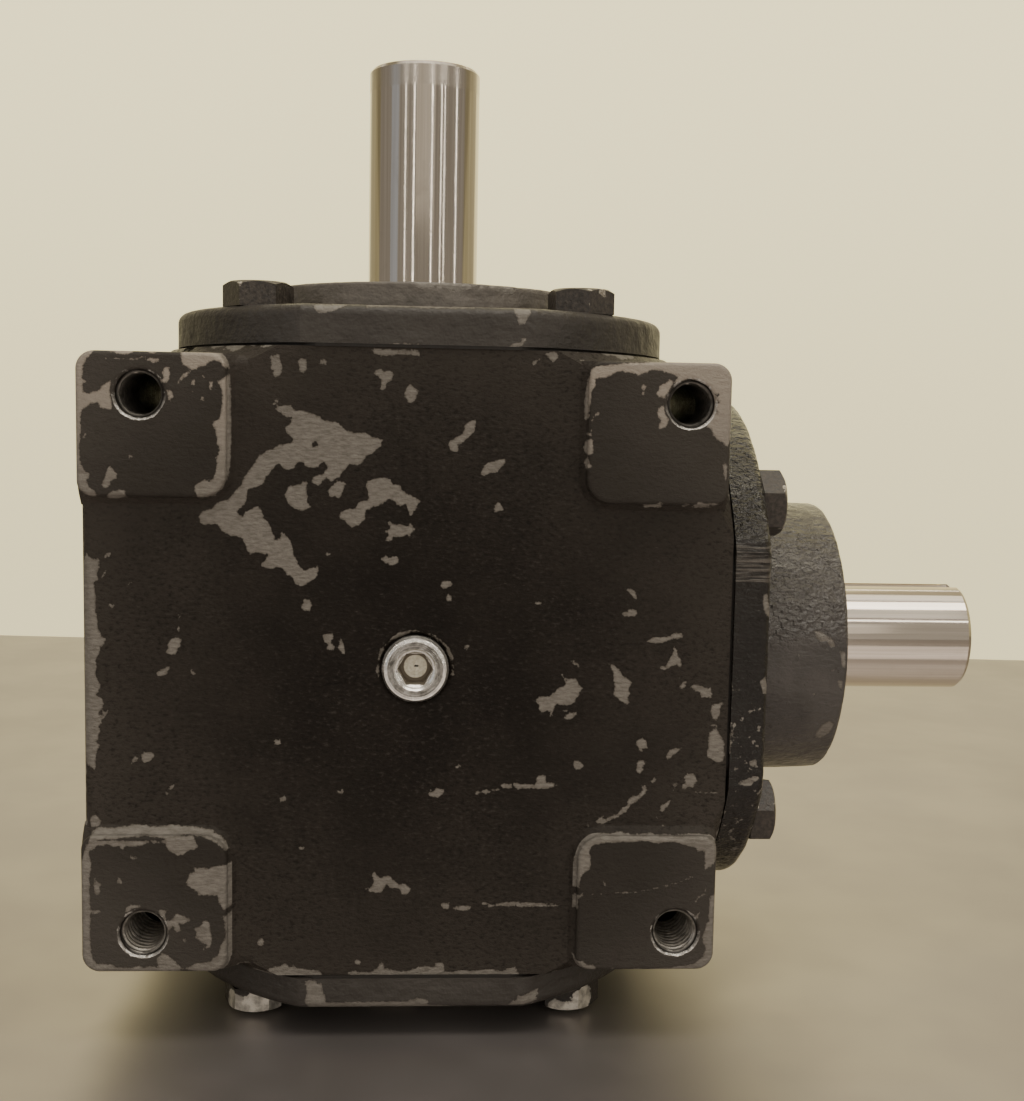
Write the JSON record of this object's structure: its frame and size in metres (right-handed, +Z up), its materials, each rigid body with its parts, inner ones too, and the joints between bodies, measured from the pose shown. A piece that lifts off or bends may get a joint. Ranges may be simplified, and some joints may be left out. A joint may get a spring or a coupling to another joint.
{
  "type": "right angle gear reducer",
  "caption": "Right angle bevel gear reducer in a black painted cast housing, with a vertical output shaft, a side input shaft, bolted caps and tapped mounting pads.",
  "frame": {"origin": "centre of the bottom cap's flat resting face, on the output shaft's axis", "axes": "+Z up along the output shaft, +X along the input shaft towards its free end, -Y out of the front face with the oil plug"},
  "size_m": [0.1984, 0.1062, 0.2087],
  "materials": {
    "black_cast_iron": "satin",
    "black_bolt": "satin",
    "zinc_plug": "polished",
    "ground_shaft": "polished",
    "gear_steel": "satin",
    "inner_steel": "satin",
    "shim_steel": "matte",
    "seal_rubber": "matte"
  },
  "bodies": {
    "case": {"housing": "black_cast_iron", "top_cap": "black_cast_iron", "bottom_cap": "black_cast_iron", "side_cap": "black_cast_iron", "top_shim": "shim_steel", "bottom_shim": "shim_steel", "side_shim": "shim_steel", "top_cap_bolts": "black_bolt", "bottom_cap_bolts": "black_bolt", "side_cap_bolts": "black_bolt", "front_plug": "zinc_plug", "rear_plug": "zinc_plug", "upper_bearing_outer_ring": "inner_steel", "lower_bearing_outer_ring": "inner_steel", "pinion_bearing_outer_ring": "inner_steel", "outer_bearing_outer_ring": "inner_steel", "output_seal": "seal_rubber", "output_seal_spring": "inner_steel", "input_seal": "seal_rubber", "input_seal_spring": "inner_steel"},
    "output_assembly": {"output_shaft": "ground_shaft", "output_gear": "gear_steel", "output_gear_key": "inner_steel", "output_gear_spacer": "inner_steel", "upper_bearing_inner_ring": "inner_steel", "lower_bearing_inner_ring": "inner_steel"},
    "input_assembly": {"input_shaft": "ground_shaft", "input_pinion": "gear_steel", "pinion_key": "inner_steel", "pinion_spacer": "inner_steel", "pinion_retaining_ring": "inner_steel", "input_lock_washer": "inner_steel", "input_lock_nut": "inner_steel", "pinion_bearing_inner_ring": "inner_steel", "outer_bearing_inner_ring": "inner_steel"},
    "upper_roller_set": {"upper_bearing_rollers": "inner_steel", "upper_bearing_cage": "inner_steel"},
    "lower_roller_set": {"lower_bearing_rollers": "inner_steel", "lower_bearing_cage": "inner_steel"},
    "pinion_roller_set": {"pinion_bearing_rollers": "inner_steel", "pinion_bearing_cage": "inner_steel"},
    "outer_roller_set": {"outer_bearing_rollers": "inner_steel", "outer_bearing_cage": "inner_steel"}
  },
  "joints": [
    {"name": "output_spin", "type": "hinge", "parent": "case", "child": "output_assembly", "pos_m": [0, 0, 0.0783], "axis": [0, 0, 1], "continuous": true},
    {"name": "input_spin", "type": "hinge", "parent": "case", "child": "input_assembly", "pos_m": [0, 0, 0.0783], "axis": [1, 0, 0], "continuous": true},
    {"name": "upper_cage_spin", "type": "hinge", "parent": "case", "child": "upper_roller_set", "pos_m": [0, 0, 0.1374], "axis": [0, 0, 1], "continuous": true},
    {"name": "lower_cage_spin", "type": "hinge", "parent": "case", "child": "lower_roller_set", "pos_m": [0, 0, 0.0192], "axis": [0, 0, 1], "continuous": true},
    {"name": "pinion_cage_spin", "type": "hinge", "parent": "case", "child": "pinion_roller_set", "pos_m": [0.0536, 0, 0.0783], "axis": [1, 0, 0], "continuous": true},
    {"name": "outer_cage_spin", "type": "hinge", "parent": "case", "child": "outer_roller_set", "pos_m": [0.0726, 0, 0.0783], "axis": [1, 0, 0], "continuous": true}
  ],
  "couplings": [
    {"joint": "input_spin", "follows": "output_spin", "ratio": 1.5},
    {"joint": "upper_cage_spin", "follows": "output_spin", "ratio": 0.42437},
    {"joint": "lower_cage_spin", "follows": "output_spin", "ratio": 0.42437},
    {"joint": "pinion_cage_spin", "follows": "output_spin", "ratio": 0.63656},
    {"joint": "outer_cage_spin", "follows": "output_spin", "ratio": 0.63656}
  ]
}
